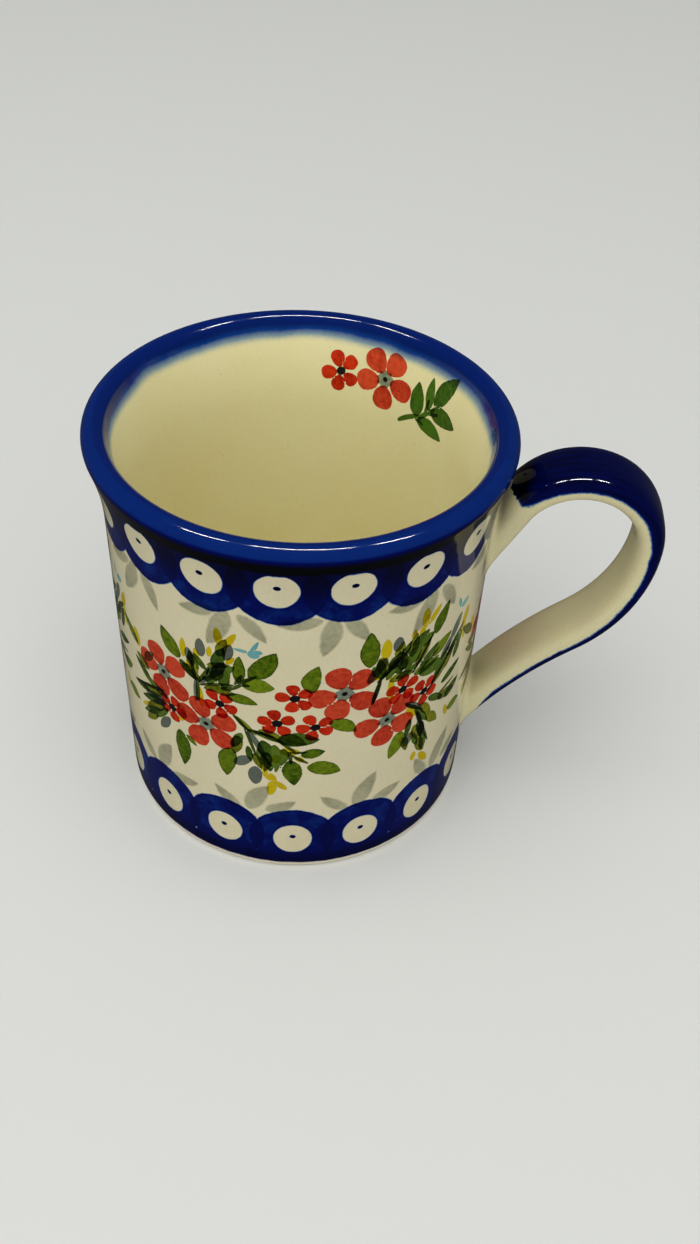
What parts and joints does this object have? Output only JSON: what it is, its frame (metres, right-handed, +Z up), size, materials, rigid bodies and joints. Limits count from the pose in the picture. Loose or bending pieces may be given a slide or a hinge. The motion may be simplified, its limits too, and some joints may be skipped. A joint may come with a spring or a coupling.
{
  "type": "stoneware mug",
  "caption": "Straight stoneware mug with a softly flared round rim and a strap handle, glazed inside and out over painted folk borders and flowers.",
  "frame": {"origin": "centre of the foot ring on the surface that the mug stands on", "axes": "+Z up along the mug's axis, +X towards the handle, +Y to the left of someone who looks along +X"},
  "size_m": [0.1198, 0.0874, 0.095],
  "materials": {
    "fired_stoneware": "bare fired stoneware, sanded foot, matt",
    "handle_stoneware": "bare fired stoneware under the glaze",
    "luting_slip": "fired slip under the glaze",
    "painted_outside_glaze": "clear gloss glaze over cobalt, red and green underglaze painting on cream",
    "cream_inside_glaze": "gloss cream glaze with fine iron specks and a cobalt rim",
    "cobalt_handle_glaze": "clear gloss glaze, brushed cobalt on the outer face and cream on the inner face",
    "cream_base_glaze": "gloss cream glaze under the base, no mark"
  },
  "bodies": {
    "root": {"cup_body": "fired_stoneware", "handle": "handle_stoneware", "upper_slip_joint": "luting_slip", "lower_slip_joint": "luting_slip", "outside_glaze": "painted_outside_glaze", "inside_glaze": "cream_inside_glaze", "handle_glaze": "cobalt_handle_glaze", "base_glaze": "cream_base_glaze"}
  },
  "joints": []
}
